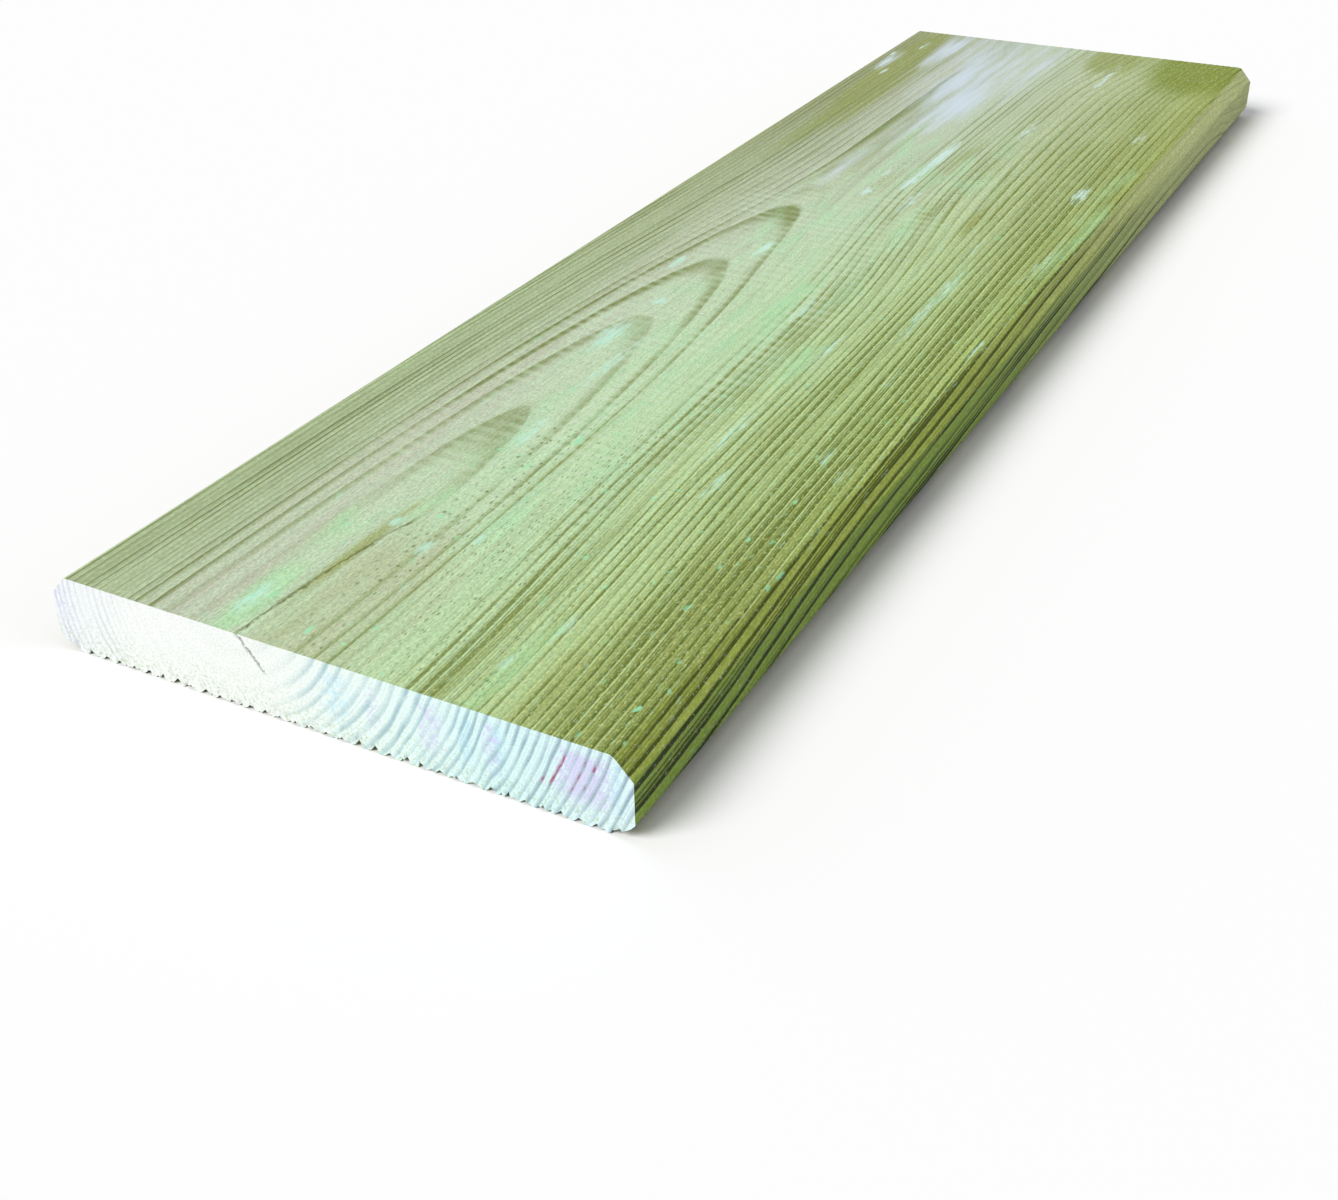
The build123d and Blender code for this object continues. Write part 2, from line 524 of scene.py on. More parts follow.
# Pressure-treated pine, planed: green copper salts dye the soft spring wood pale
# and mint and the autumn wood olive. The knives leave it dull, with faint cross
# marks and rows of torn pits, and the salts dry on it in mint and white streaks
# and specks. Its finest fibres, grit, pits and crumbs are drawn a few times
# coarser than they are, because they would be too fine to show.
def pressure_treated_pine():
    material, tree = blank_material("pressure_treated_pine_planed")
    coords = add(tree, "ShaderNodeTexCoord").outputs["Object"]
    place = millimetres(tree, coords)
    x, y, z = add(tree, "ShaderNodeSeparateXYZ", {0: place}).outputs
    rings, grain = growth_rings(tree, place)
    season = add(tree, "ShaderNodeMath", {0: rings}, operation="FRACT")
    from_middle = add(tree, "ShaderNodeMath", {0: y}, operation="ABSOLUTE")
    on_face = product(tree, (z, FACE_ENDS, -0.5))

    # Autumn wood, which hardly shows in the first year and in the calm years right of
    # the arches, and fades towards the far end, and on the sides with the painted light there
    calm = product(
        tree,
        (rings, 4.0, 4.4, 0.0, 0.7),
        (rings, 8.4, 8.8, 1.0, 0.0),
        (y, 14.0, 26.0, 1.0, 0.0),
        on_face,
    )
    first_year = product(
        tree,
        (rings, 1.05, 1.25, 0.8, 0.0),
        (x, 50.0, 108.0, 1.0, 0.25),
        on_face,
    )
    calm = add(tree, "ShaderNodeMath", {0: calm, 1: first_year}, operation="MAXIMUM")
    shown = add(tree, "ShaderNodeMath", {0: 1.0, 1: calm}, operation="SUBTRACT")
    bolder = add(tree, "ShaderNodeMath", {0: laid_in(tree, place, BOLD_LINES), 1: 1.0})
    on_side = product(tree, (z, FACE_ENDS, -0.3, 1.0, 0.0), (z, *BACK_ENDS))
    on_back = product(tree, (z, *BACK_ENDS, 1.0, 0.0))
    faded_end = product(tree, (x, 380.0, 480.0, 0.0, 0.35), on_face)
    # The sides' autumn lines fade towards the far end with the painted light there
    side_lines_faded_by_painted_light = product(tree, (x, 230.0, 420.0, 0.0, 0.75), on_side)
    faded = add(tree, "ShaderNodeMath", {0: faded_end, 1: side_lines_faded_by_painted_light}, operation="MAXIMUM")
    unfaded = add(tree, "ShaderNodeMath", {0: 1.0, 1: faded}, operation="SUBTRACT")
    autumn = product(
        tree,
        autumn_wood(tree, rings, grain, PLANED_BAND, PLANED_LINES),
        shown,
        unfaded,
        bolder,
        (from_middle, *CHAMFER_BEGINS, 1.0, 1.6),
        (z, *BACK_ENDS, 1.5, 1.0),
    )

    share = add(tree, "ShaderNodeMapRange", {0: y, 1: -WIDTH / 2 / MM, 2: WIDTH / 2 / MM})
    farness = product(tree, (x, 120.0, 440.0))
    woods = []
    for near_codes, far_codes in ((NEAR_SPRING, FAR_SPRING), (NEAR_AUTUMN, FAR_AUTUMN)):
        near, far = (
            add(
                tree,
                "ShaderNodeValToRGB",
                {0: share},
                stops=[(at, linear(code)) for at, code in zip(FACE_SHARES, codes)],
            )
            for codes in (near_codes, far_codes)
        )
        woods.append(add(tree, "ShaderNodeMix", {0: farness, 6: near, 7: far}, data_type="RGBA"))
    spring, dark = woods

    # Olive flushes, drawn out along the grain
    flush_noise = stretched_noise(tree, grain, 90.0, 3.0, detail=3.0, roughness=0.6, seed=31.0)
    flushes = laid_in(tree, place, OLIVE_FLUSHES)
    flush = product(tree, frayed(tree, flushes, flush_noise, 0.8, 0.1, 0.9), on_face, 0.8)
    stray_flush = product(
        tree,
        (flush_noise, 0.5, 0.66, 0.0, 0.45),
        (y, -24.0, -14.0, 1.0, 0.0),
        on_face,
    )
    flush = add(tree, "ShaderNodeMath", {0: flush, 1: stray_flush}, operation="MAXIMUM")
    spring = add(
        tree, "ShaderNodeMix", {0: flush, 6: spring, 7: linear("#98A258")}, data_type="RGBA"
    )
    corner = frayed(tree, laid_in(tree, place, SOAKED_CORNER), flush_noise, 0.3, 0.0, 1.0)
    soaked = product(tree, corner, 0.92)
    spring = add(
        tree, "ShaderNodeMix", {0: soaked, 6: spring, 7: linear("#839230")}, data_type="RGBA"
    )

    # The chamfers, sides and back took up more of the salts. The left side faces the lamp
    # and is given a duller colour as painted shade. The other one is painted paler towards
    # the far end, as light falling there.
    for amount, light, shade in (
        (product(tree, (from_middle, *CHAMFER_BEGINS)), "#AFBF57", "#536117"),
        (product(tree, (from_middle, *SIDE_BEGINS)), "#9BBA4E", "#34430F"),
        (on_back, "#93A244", "#42460F"),
    ):
        spring = add(
            tree, "ShaderNodeMix", {0: amount, 6: spring, 7: linear(light)}, data_type="RGBA"
        )
        dark = add(tree, "ShaderNodeMix", {0: amount, 6: dark, 7: linear(shade)}, data_type="RGBA")
    # Painted shade: the side that faces the lamp is dulled so that it renders no brighter than the
    # other
    lamp_side_painted_shade = product(tree, (y, 66.0, 69.0, 0.0, 0.8), on_side)
    spring = add(
        tree, "ShaderNodeMix", {0: lamp_side_painted_shade, 6: spring, 7: linear("#98A56A")}, data_type="RGBA"
    )
    # Painted light: the sides and chamfers, most of all the right ones, lighter towards the far end
    painted_light_towards_far_end = product(
        tree,
        (x, 150.0, 420.0, 0.0, 0.9),
        (y, -10.0, 10.0, 1.0, 0.2),
        on_side,
    )
    spring = add(
        tree, "ShaderNodeMix", {0: painted_light_towards_far_end, 6: spring, 7: linear("#D2DA9C")}, data_type="RGBA"
    )

    # Grey patches, pinkish streaks over the arches, the fresh light green that opens
    # each ring on the right, the ring lines themselves, and mint clouds over them
    pink_noise = stretched_noise(tree, grain, 70.0, 3.0, detail=3.0, seed=7.0)
    grey = frayed(tree, laid_in(tree, place, GREY_PATCHES), pink_noise, 0.8, 0.0, 1.0)
    greyed = product(tree, grey, on_face, 0.75)
    spring = add(
        tree, "ShaderNodeMix", {0: greyed, 6: spring, 7: linear("#BAC49C")}, data_type="RGBA"
    )
    pink = product(
        tree,
        (pink_noise, 0.4, 0.62, 0.1, 0.7),
        (y, 26.0, 32.0, 0.25, 1.0),
        (y, -12.0, 10.0),
        (y, 44.0, 50.0, 1.0, 0.0),
        (x, 130.0, 300.0, 1.0, 0.4),
        on_face,
    )
    spring = add(
        tree, "ShaderNodeMix", {0: pink, 6: spring, 7: linear("#C2C3AE")}, data_type="RGBA"
    )
    fresh_noise = stretched_noise(tree, grain, 80.0, 2.6, detail=2.0, seed=41.0)
    fresh = product(
        tree,
        (season, 0.03, 0.1),
        (season, 0.16, 0.28, 1.0, 0.0),
        (fresh_noise, 0.42, 0.6),
        (y, -22.0, -12.0, 0.75, 0.0),
        (x, 280.0, 400.0, 1.0, 0.2),
        on_face,
    )
    spring = add(
        tree, "ShaderNodeMix", {0: fresh, 6: spring, 7: linear("#C7DC9E")}, data_type="RGBA"
    )
    wood = add(tree, "ShaderNodeMix", {0: autumn, 6: spring, 7: dark}, data_type="RGBA")
    mint_noise = stretched_noise(tree, grain, 26.0, 7.0, detail=3.0, seed=3.0)
    clouds = laid_in(tree, place, MINT_CLOUDS)
    cloud = product(tree, frayed(tree, clouds, mint_noise, 1.3, 0.0, 1.0), on_face, 0.62)
    wood = add(tree, "ShaderNodeMix", {0: cloud, 6: wood, 7: linear("#ADE0A6")}, data_type="RGBA")
    mint = product(
        tree,
        (x, 10.0, 70.0, 0.3, 1.0),
        (mint_noise, 0.45, 0.7, 0.0, 0.75),
        (autumn, 0.0, 0.8, 1.0, 0.4),
        (y, -40.0, -10.0),
        (y, 22.0, 36.0, 1.0, 0.0),
        (x, 330.0, 420.0, 1.0, 0.0),
        on_face,
    )
    wood = add(tree, "ShaderNodeMix", {0: mint, 6: wood, 7: linear("#B4DDB0")}, data_type="RGBA")

    # Fibres and grit, both drawn coarser than they are, and broader streaks
    fibre = stretched_noise(tree, grain, 7.0, 0.5, detail=3.0, roughness=0.65)
    grit = stretched_noise(tree, grain, 1.1, 0.6, detail=2.0, roughness=0.7, seed=19.0)
    streak = stretched_noise(tree, grain, 120.0, 1.4, detail=2.0, roughness=0.6, seed=5.0)
    shade = product(
        tree,
        (fibre, 0.25, 0.75, 0.9, 1.1),
        (grit, 0.3, 0.7, 0.82, 1.16),
        (streak, 0.3, 0.7, 0.95, 1.05),
    )
    wood = add(tree, "ShaderNodeVectorMath", {0: wood, 3: shade}, operation="SCALE")

    # Cross marks of the planer's knives, as far apart as the feed of one turn
    turn = product(tree, x, 2 * math.pi / KNIFE_MARK_PITCH)
    knife_wave = add(tree, "ShaderNodeMath", {0: turn}, operation="SINE")
    knife_noise = stretched_noise(tree, place, 16.0, 10.0, detail=3.0, seed=11.0)
    knife = product(
        tree,
        (knife_wave, -0.8, 1.0),
        (knife_noise, 0.36, 0.64, 0.04, 0.38),
        (x, 40.0, 90.0),
        (x, 280.0, 340.0, 1.0, 0.0),
        (y, -32.0, -12.0),
        (y, 36.0, 52.0, 1.0, 0.0),
        on_face,
    )
    wood = add(tree, "ShaderNodeMix", {0: knife, 6: wood, 7: linear("#D0E6C4")}, data_type="RGBA")

    # Rows of torn pits along the grain, painted dark olive as the shade inside them
    pit_along = product(tree, x, 1 / PIT_PITCH)
    pit_across = product(tree, rings, PIT_ROWS_PER_RING)
    pit_place = add(tree, "ShaderNodeCombineXYZ", {0: pit_along, 1: pit_across})
    pit_dots = add(
        tree, "ShaderNodeTexVoronoi", {"Vector": pit_place, "Scale": 1.0, "Randomness": 0.45}
    )
    pit_noise = stretched_noise(tree, grain, 40.0, 3.0, detail=2.0, seed=2.0)
    pitted = frayed(tree, laid_in(tree, place, PITTED), pit_noise, 0.8, 0.1, 0.7)
    pits = product(
        tree,
        (pit_dots, 0.06, 0.33, 0.95, 0.0),
        (grit, 0.35, 0.6, 1.0, 0.55),
        pitted,
        on_face,
    )
    wood = add(tree, "ShaderNodeMix", {0: pits, 6: wood, 7: linear("#647335")}, data_type="RGBA")

    # Painted sheen towards the far end, and salts
    painted_sheen_noise = stretched_noise(tree, grain, 40.0, 3.0, detail=4.0, roughness=0.6, seed=27.0)
    painted_sheen_spots = laid_in(tree, place, PAINTED_SHEEN_SPOTS)
    painted_sheen = product(tree, frayed(tree, painted_sheen_spots, painted_sheen_noise, 1.2, -0.1, 1.6), on_face, 0.95)
    # The pale blue-white here is a painted reflection, not the wood's own colour
    wood = add(tree, "ShaderNodeMix", {0: painted_sheen, 6: wood, 7: linear("#D3E1ED")}, data_type="RGBA")
    salt_noise = stretched_noise(tree, grain, 8.0, 1.1, detail=4.0, roughness=0.75, seed=13.0)
    salts = laid_in(tree, place, SALT_STREAKS)
    laid_salts = product(tree, frayed(tree, salts, salt_noise, 2.0, 0.0, 1.15), on_face, 0.92)
    stray_noise = stretched_noise(tree, grain, 5.0, 0.8, detail=3.0, roughness=0.65, seed=17.0)
    stray_salts = product(
        tree,
        (stray_noise, 0.61, 0.75, 0.0, 0.5),
        (z, -6.0, -0.5, 0.5, 1.0),
    )
    both_salts = add(tree, "ShaderNodeMath", {0: laid_salts, 1: stray_salts}, operation="MAXIMUM")
    salt_colour = add(
        tree,
        "ShaderNodeMix",
        {0: farness, 6: linear("#C2F2DC"), 7: linear("#D6EEEA")},
        data_type="RGBA",
    )
    wood = add(tree, "ShaderNodeMix", {0: both_salts, 6: wood, 7: salt_colour}, data_type="RGBA")

    # Glints of bare spring wood and mint flecks between the close lines on the right
    glint_noise = stretched_noise(tree, grain, 1.6, 0.5, detail=2.0, roughness=0.6, seed=51.0)
    fleck_noise = stretched_noise(tree, grain, 4.0, 1.0, detail=3.0, roughness=0.7, seed=57.0)
    on_right = product(tree, (y, -34.0, -10.0, 1.0, 0.15), on_face)
    glints = product(tree, (glint_noise, 0.56, 0.68, 0.0, 0.6), on_right)
    flecks = product(tree, (fleck_noise, 0.58, 0.68, 0.0, 0.5), on_right)
    for amount, colour in ((glints, "#CFDA80"), (flecks, "#AEDAA0")):
        wood = add(
            tree, "ShaderNodeMix", {0: amount, 6: wood, 7: linear(colour)}, data_type="RGBA"
        )

    # Vivid mint specks of salt, most of them near the near end
    speck_noise = stretched_noise(tree, grain, 6.0, 3.2, detail=1.0, seed=61.0)
    specks = product(
        tree,
        (speck_noise, 0.69, 0.75, 0.0, 0.8),
        (mint_noise, 0.4, 0.6, 0.3, 1.0),
        (x, 60.0, 240.0, 1.0, 0.35),
        (y, 22.0, 45.0, 1.0, 0.2),
        on_face,
    )
    wood = add(tree, "ShaderNodeMix", {0: specks, 6: wood, 7: linear("#9CEBB8")}, data_type="RGBA")

    # Pale crumbs of torn fibre, most of them near the near end
    crumb_noise = stretched_noise(tree, place, 0.9, 0.6, detail=2.0, roughness=0.6, seed=37.0)
    crumbs = product(
        tree,
        (crumb_noise, 0.6, 0.7, 0.0, 0.42),
        (x, 0.0, 160.0, 1.0, 0.3),
    )
    wood = add(tree, "ShaderNodeMix", {0: crumbs, 6: wood, 7: linear("#E6EDCF")}, data_type="RGBA")

    # The crack painted dark olive: painted shade in its gap
    crack = drying_crack(tree, place)
    wood = add(tree, "ShaderNodeMix", {0: crack, 6: wood, 7: linear("#6A6C2E")}, data_type="RGBA")

    # The fuzz of the fibres, the pits and the crack in relief
    fuzz = product(tree, fibre, 0.04 * MM)
    for amount, height in ((grit, 0.03), (pits, -0.08), (crumbs, 0.05), (crack, -0.2)):
        fuzz = add(
            tree, "ShaderNodeMath", {0: amount, 1: height * MM, 2: fuzz}, operation="MULTIPLY_ADD"
        )
    relief = add(tree, "ShaderNodeBump", {"Distance": 1.0, "Height": fuzz})
    roughness = product(tree, (fibre, 0.3, 0.7, 0.62, 0.8))
    shader = add(
        tree,
        "ShaderNodeBsdfPrincipled",
        {"Base Color": wood, "Roughness": roughness, "Specular IOR Level": 0.35, "Normal": relief},
    )
    add(tree, "ShaderNodeOutputMaterial", {0: shader})
    return material


# Spring and autumn wood on the sawn ends, from the right edge to the left, the
# two edges first
SAWN_SPRING = (
    (0.0, "#E4FAFD"),
    (1.0, "#F4F9FC"),
    (0.2, "#DFFBFA"),
    (0.4, "#ECFDF7"),
    (0.6, "#F5F8F5"),
    (0.85, "#F8FAF8"),
)
SAWN_AUTUMN = (
    (0.0, "#9DB2C0"),
    (1.0, "#9098B8"),
    (0.25, "#A4C4CE"),
    (0.5, "#B4D0D6"),
    (0.68, "#DDE8E4"),
    (0.86, "#C6CFD8"),
)

# Violet and blue patches on the near end
VIOLET_PATCHES = (
    (0, -61.5, 30, 8, 1.6),
    (0, -41, 30, 3, 0.7),
    (0, -27, 30, 5, 0.7),
    (0, -13, 30, 3, 0.5),
    (0, 70, 30, 7, 0.3),
)
BLUE_PATCHES = (
    (0, -42.5, 30, 3, 0.9),
    (0, -35, 30, 3, 0.8),
    (0, -69, 30, 3, 0.8),
    (0, -4, 30, 6, 0.7),
)

# Resin streaks there, placed where their slanting rings would meet the face
RESIN_STREAKS = ((0, -59.3, 30, 1.7, 2.0), (0, -65.4, 30, 2.0, 1.1))
RESIN_SLANT = 0.52


# The sawn ends: bare end grain, nearly white where the saw cut past the salts,
# with soft grey-blue autumn rings, blue and violet patches and a few resin
# streaks. The saw leaves it matt and speckled, and greener towards the ribs. The
# speckle of the cut cells is drawn coarser than it is, so that it shows.
def sawn_end_grain():
    material, tree = blank_material("pine_end_grain_sawn")
    coords = add(tree, "ShaderNodeTexCoord").outputs["Object"]
    place = millimetres(tree, coords)
    x, y, z = add(tree, "ShaderNodeSeparateXYZ", {0: place}).outputs
    rings, grain = growth_rings(tree, place)
    autumn = product(
        tree,
        autumn_wood(tree, rings, grain, SAWN_BAND, SAWN_LINES),
        (y, -5.0, 18.0, 1.1, 0.12),
        (y, 46.0, 56.0, 1.0, 3.6),
    )
    share = add(tree, "ShaderNodeMapRange", {0: y, 1: -WIDTH / 2 / MM, 2: WIDTH / 2 / MM})
    spring, dark = (
        add(
            tree,
            "ShaderNodeValToRGB",
            {0: share},
            stops=[(at, linear(code)) for at, code in colours],
        )
        for colours in (SAWN_SPRING, SAWN_AUTUMN)
    )

    # Patches inside the end, clear of the face and the ribs, and resin along the rings
    patch_noise = stretched_noise(tree, place, 8.0, 1.6, detail=3.0, seed=4.0)
    inner = product(tree, (z, -16.0, -11.0), (z, -3.5, -1.0, 1.0, 0.0))
    for patches, colour in ((BLUE_PATCHES, "#C2EBFD"), (VIOLET_PATCHES, "#DBD1FA")):
        patch = frayed(tree, laid_in(tree, place, patches), patch_noise, 1.4, 0.0, 1.2)
        shown = product(tree, patch, inner, 0.75)
        spring = add(
            tree, "ShaderNodeMix", {0: shown, 6: spring, 7: linear(colour)}, data_type="RGBA"
        )
    wood = add(tree, "ShaderNodeMix", {0: autumn, 6: spring, 7: dark}, data_type="RGBA")
    resin_noise = stretched_noise(tree, place, 4.0, 2.2, detail=1.0, seed=23.0)
    slanted = add(tree, "ShaderNodeMath", {0: z, 1: RESIN_SLANT, 2: y}, operation="MULTIPLY_ADD")
    ring_place = add(tree, "ShaderNodeCombineXYZ", {0: x, 1: slanted, 2: z})
    streaks = laid_in(tree, ring_place, RESIN_STREAKS)
    resin = product(
        tree,
        (autumn, 0.45, 0.85),
        frayed(tree, streaks, resin_noise, 1.2, 0.2, 0.9),
        (z, -13.0, -10.5),
        (z, -4.5, -3.0, 1.0, 0.0),
        0.9,
    )
    wood = add(tree, "ShaderNodeMix", {0: resin, 6: wood, 7: linear("#AE4A74")}, data_type="RGBA")

    # Speckle, the green stain above the ribs, the crack painted as shade in its gap, and relief
    speckle = stretched_noise(tree, place, 0.6, 0.55, detail=2.0, roughness=0.7, seed=9.0)
    shade = product(tree, (speckle, 0.3, 0.7, 0.9, 1.04))
    wood = add(tree, "ShaderNodeVectorMath", {0: wood, 3: shade}, operation="SCALE")
    stain_noise = stretched_noise(tree, place, 1.2, 0.9, detail=3.0, roughness=0.7, seed=15.0)
    stain = product(
        tree,
        (stain_noise, 0.48, 0.7, 0.0, 0.85),
        (z, -18.0, -6.0, 1.0, 0.0),
    )
    wood = add(tree, "ShaderNodeMix", {0: stain, 6: wood, 7: linear("#B7CBA4")}, data_type="RGBA")
    crack = drying_crack(tree, place)
    # The crack's grey is painted shade in its gap
    torn = product(tree, crack, (speckle, 0.35, 0.6, 0.35, 0.85))
    wood = add(tree, "ShaderNodeMix", {0: torn, 6: wood, 7: linear("#71776A")}, data_type="RGBA")
    fuzz = product(tree, speckle, 0.12 * MM)
    cracked = add(
        tree, "ShaderNodeMath", {0: crack, 1: -0.3 * MM, 2: fuzz}, operation="MULTIPLY_ADD"
    )
    relief = add(tree, "ShaderNodeBump", {"Distance": 1.0, "Height": cracked})
    shader = add(
        tree,
        "ShaderNodeBsdfPrincipled",
        {"Base Color": wood, "Roughness": 0.9, "Specular IOR Level": 0.2, "Normal": relief},
    )
    add(tree, "ShaderNodeOutputMaterial", {0: shader})
    return material


def new_tree(name, sizes):
    """An empty Geometry Nodes tree with a named input for each size, and those inputs."""
    tree = bpy.data.node_groups.new(name, "GeometryNodeTree")
    for title, value in sizes.items():
        kind = "NodeSocketInt" if isinstance(value, int) else "NodeSocketFloat"
        tree.interface.new_socket(name=title, in_out="INPUT", socket_type=kind)
    tree.interface.new_socket(name="Geometry", in_out="OUTPUT", socket_type="NodeSocketGeometry")
    return tree, add(tree, "NodeGroupInput").outputs


def grown(name, tree, sizes):
    """A plain mesh object made by a Geometry Nodes tree at the given sizes."""
    piece = bpy.data.objects.new(name, bpy.data.meshes.new(name + "_blank"))
    bpy.context.collection.objects.link(piece)
    modifier = piece.modifiers.new("grow", "NODES")
    modifier.node_group = tree
    for socket in tree.interface.items_tree:
        if socket.in_out == "INPUT":
            modifier[socket.identifier] = sizes[socket.name]
    made = piece.evaluated_get(bpy.context.evaluated_depsgraph_get())
    mesh = bpy.data.meshes.new_from_object(made)
    piece.modifiers.clear()
    piece.data = mesh
    mesh.name = name
    return piece


def board_tree(sizes, planed, sawn):
    """A closed block of small quads, bent to the board's section, with its grain raised."""
    tree, size = new_tree("planed_board", sizes)
    block = add(
        tree,
        "GeometryNodeMeshCube",
        {
            "Size": (1.0, 1.0, 1.0),
            "Vertices X": size["Rows"],
            "Vertices Y": size["Columns"],
            "Vertices Z": size["Levels"],
        },
    )
    position = add(tree, "GeometryNodeInputPosition")
    u, v, w = add(tree, "ShaderNodeSeparateXYZ", {0: position}).outputs

    # Rows closer together towards the ends
    wave = add(tree, "ShaderNodeMath", {0: product(tree, u, 2 * math.pi)}, operation="SINE")
    crowded = product(tree, wave, size["Crowding at Ends"], 1 / (2 * math.pi))
    spread = add(tree, "ShaderNodeMath", {0: u, 1: crowded})
    along = product(tree, spread, size["Length"])
    across = product(tree, v, size["Width"])
    from_middle = add(tree, "ShaderNodeMath", {0: across}, operation="ABSOLUTE")

    # The smooth face and its chamfers
    past_face = add(
        tree, "ShaderNodeMath", {0: from_middle, 1: size["Face Half Width"]}, operation="SUBTRACT"
    )
    eased = add(
        tree,
        "ShaderNodeMath",
        {0: past_face, 1: 0.0, 2: size["Arris Softness"]},
        operation="SMOOTH_MAX",
    )
    drop = product(tree, eased, size["Chamfer Slope"])
    face = add(tree, "ShaderNodeMath", {0: size["Thickness"], 1: drop}, operation="SUBTRACT")

    # The ribs and the lower corners, each an arc
    half_rib = product(tree, size["Rib Pitch"], 0.5)
    from_groove = add(tree, "ShaderNodeMath", {0: across, 1: half_rib}, operation="PINGPONG")
    from_crest = add(tree, "ShaderNodeMath", {0: half_rib, 1: from_groove}, operation="SUBTRACT")
    from_corner = add(
        tree,
        "ShaderNodeMath",
        {0: from_middle, 1: size["Corner Centre Across"]},
        operation="SUBTRACT",
    )
    arcs = []
    for run, radius, centre in (
        (from_crest, size["Rib Radius"], size["Rib Radius"]),
        (from_corner, size["Corner Radius"], size["Corner Centre Up"]),
    ):
        inner = add(
            tree,
            "ShaderNodeMath",
            {0: product(tree, radius, radius), 1: product(tree, run, run)},
            operation="SUBTRACT",
        )
        depth = add(tree, "ShaderNodeMath", {0: inner}, operation="SQRT")
        arcs.append(add(tree, "ShaderNodeMath", {0: centre, 1: depth}, operation="SUBTRACT"))
    on_corner = add(
        tree,
        "ShaderNodeMath",
        {0: from_middle, 1: size["Reeded Half Width"]},
        operation="GREATER_THAN",
    )
    back = add(tree, "ShaderNodeMix", {0: on_corner, 2: arcs[0], 3: arcs[1]})
    rise = add(tree, "ShaderNodeMath", {0: face, 1: back}, operation="SUBTRACT")
    share = add(tree, "ShaderNodeMath", {0: w, 1: 0.5})
    height = add(tree, "ShaderNodeMath", {0: rise, 1: share, 2: back}, operation="MULTIPLY_ADD")
    section = add(tree, "ShaderNodeCombineXYZ", {0: along, 1: across, 2: height})
    board = add(tree, "GeometryNodeSetPosition", {"Geometry": block, "Position": section})

    # Raised autumn wood, and chips broken off the ends by the saw, slight above the ribs
    place = millimetres(tree, position)
    x, y, z = add(tree, "ShaderNodeSeparateXYZ", {0: position}).outputs
    rings, grain = growth_rings(tree, place)
    season = add(
        tree,
        "ShaderNodeMath",
        {0: rings, 1: 2 * math.pi, 2: -2 * math.pi * LOWEST_SEASON},
        operation="MULTIPLY_ADD",
    )
    swell = add(tree, "ShaderNodeMath", {0: season}, operation="COSINE")
    grain_depth = product(tree, (swell, -1.0, 1.0), size["Raised Grain"])
    from_mid_length = add(tree, "ShaderNodeMath", {0: x}, operation="ABSOLUTE")
    half_length = product(tree, size["Length"], 0.5)
    from_end = add(
        tree, "ShaderNodeMath", {0: half_length, 1: from_mid_length}, operation="SUBTRACT"
    )
    chip_noise = stretched_noise(tree, place, 2.0, 1.1, detail=2.0, roughness=0.6, seed=21.0)
    chip_depth = product(
        tree,
        (chip_noise, 0.42, 0.72),
        (from_end, 0.0, size["Chipped Reach"], 1.0, 0.0),
        (z, 0.8 * MM, 4.0 * MM, 1.0, 0.12),
        size["Chipped Depth"],
    )
    depth = add(tree, "ShaderNodeMath", {0: grain_depth, 1: chip_depth})
    inward = product(tree, depth, -1.0)
    normal = add(tree, "GeometryNodeInputNormal")
    offset = add(tree, "ShaderNodeVectorMath", {0: normal, 3: inward}, operation="SCALE")
    board = add(tree, "GeometryNodeSetPosition", {"Geometry": board, "Offset": offset})

    # Which faces the planer made, and which the saw
    facing = add(tree, "ShaderNodeSeparateXYZ", {0: add(tree, "GeometryNodeInputNormal")})
    endways = add(tree, "ShaderNodeMath", {0: facing}, operation="ABSOLUTE")
    is_sawn = add(tree, "ShaderNodeMath", {0: endways, 1: SAWN_ENDWAYS}, operation="GREATER_THAN")
    board = add(tree, "GeometryNodeRealizeInstances", {0: board})
    board = add(tree, "GeometryNodeSetMaterial", {"Geometry": board, "Material": planed})
    board = add(
        tree,
        "GeometryNodeSetMaterial",
        {"Geometry": board, "Selection": is_sawn, "Material": sawn},
    )
    add(tree, "NodeGroupOutput", {0: board})
    return tree


# The arc of a lower corner, from its chord and its bulge
corner_rise = LOWER_CORNER_UP - GROOVE_DEPTH
corner_chord = math.hypot(LOWER_CORNER_ACROSS, corner_rise)
corner_radius = (corner_chord**2 / 4 + LOWER_CORNER_BULGE**2) / (2 * LOWER_CORNER_BULGE)
corner_pull = (corner_radius - LOWER_CORNER_BULGE) / corner_chord
reeded_half_width = WIDTH / 2 - LOWER_CORNER_ACROSS
board_sizes = {
    "Length": LENGTH,
    "Width": WIDTH,
    "Thickness": THICKNESS,
    "Face Half Width": WIDTH / 2 - CHAMFER_ACROSS,
    "Chamfer Slope": CHAMFER_DOWN / CHAMFER_ACROSS,
    "Arris Softness": ARRIS_SOFTNESS,
    "Reeded Half Width": reeded_half_width,
    "Rib Pitch": RIB_PITCH,
    "Rib Radius": (RIB_PITCH**2 / 4 + GROOVE_DEPTH**2) / (2 * GROOVE_DEPTH),
    "Corner Radius": corner_radius,
    "Corner Centre Across": reeded_half_width + LOWER_CORNER_ACROSS / 2 - corner_pull * corner_rise,
    "Corner Centre Up": GROOVE_DEPTH + corner_rise / 2 + corner_pull * LOWER_CORNER_ACROSS,
    "Raised Grain": RAISED_GRAIN,
    "Chipped Depth": CHIPPED_DEPTH,
    "Chipped Reach": CHIPPED_REACH,
    "Crowding at Ends": CROWDING_AT_ENDS,
    "Rows": ROWS,
    "Columns": COLUMNS,
    "Levels": LEVELS,
}
planed = pressure_treated_pine()
sawn = sawn_end_grain()
board = grown("deck_board_grained", board_tree(board_sizes, planed, sawn), board_sizes)
board.data.shade_smooth()
